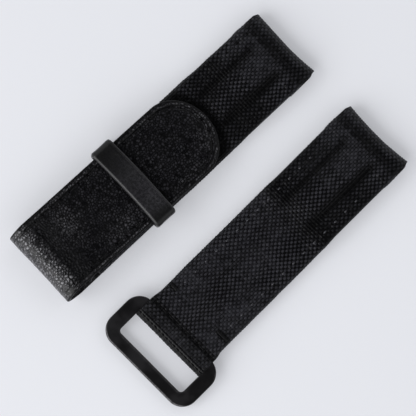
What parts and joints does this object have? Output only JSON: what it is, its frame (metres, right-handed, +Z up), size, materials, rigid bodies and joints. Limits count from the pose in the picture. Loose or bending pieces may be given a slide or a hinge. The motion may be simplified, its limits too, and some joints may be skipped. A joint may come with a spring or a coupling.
{
  "type": "nylon watch strap",
  "caption": "Two-piece woven nylon watch strap: padded lug ends, a leather tail folded back on hook-and-loop tape, a sliding leather keeper and a rectangular metal ring.",
  "frame": {"origin": "on the flat underside of the long piece, 18.6 mm from its lug end, on its middle line", "axes": "+X along the long piece towards its lug end, +Y across it away from the short piece, +Z up out of the strap's outer face"},
  "size_m": [0.098, 0.0716, 0.0096],
  "materials": {
    "woven_nylon": "plain weave, matt with small bright crossings",
    "padding": "felt board inside the canvas",
    "grained_leather": "pebbled black leather with painted edges",
    "smooth_leather": "smooth satin black leather",
    "loop_pile": "brushed loop pile",
    "hook_tape": "woven tape with small hooks",
    "black_metal": "matt black coated steel",
    "thread": "twisted black thread"
  },
  "bodies": {
    "long_strap": {"long_canvas": "woven_nylon", "long_pad_core": "padding", "tail_leather": "grained_leather", "loop_tape": "loop_pile", "hook_tape": "hook_tape", "long_stitch_left": "thread", "long_stitch_right": "thread", "flap_stitch_left": "thread", "flap_stitch_right": "thread"},
    "flap_end": {"flap_end_leather": "grained_leather", "flap_end_hook_tape": "hook_tape", "flap_end_stitch": "thread"},
    "keeper": {"keeper_band": "smooth_leather"},
    "short_strap": {"short_canvas": "woven_nylon", "short_pad_core": "padding", "short_lining": "grained_leather", "short_stitch_left": "thread", "short_stitch_right": "thread", "bar_tack_left": "thread", "bar_tack_right": "thread", "ring_cross_stitch": "thread"},
    "ring": {"ring": "black_metal"}
  },
  "joints": [
    {"name": "flap_peel", "type": "hinge", "parent": "long_strap", "child": "flap_end", "pos_m": [-0.0348, 0, 0.0078], "axis": [0, -1, 0], "range_deg": [0, 70]},
    {"name": "keeper_slide", "type": "slide", "parent": "long_strap", "child": "keeper", "axis": [-1, 0, 0], "range_m": [0, 0.021]},
    {"name": "short_lift", "type": "slide", "parent": "long_strap", "child": "short_strap", "axis": [0, 0, 1], "range_m": [0, 0.03]},
    {"name": "ring_swivel", "type": "hinge", "parent": "short_strap", "child": "ring", "pos_m": [-0.06148, -0.04014, 0.0021], "axis": [-0.0365, 0.9993, 0], "range_deg": [-60, 150]}
  ]
}
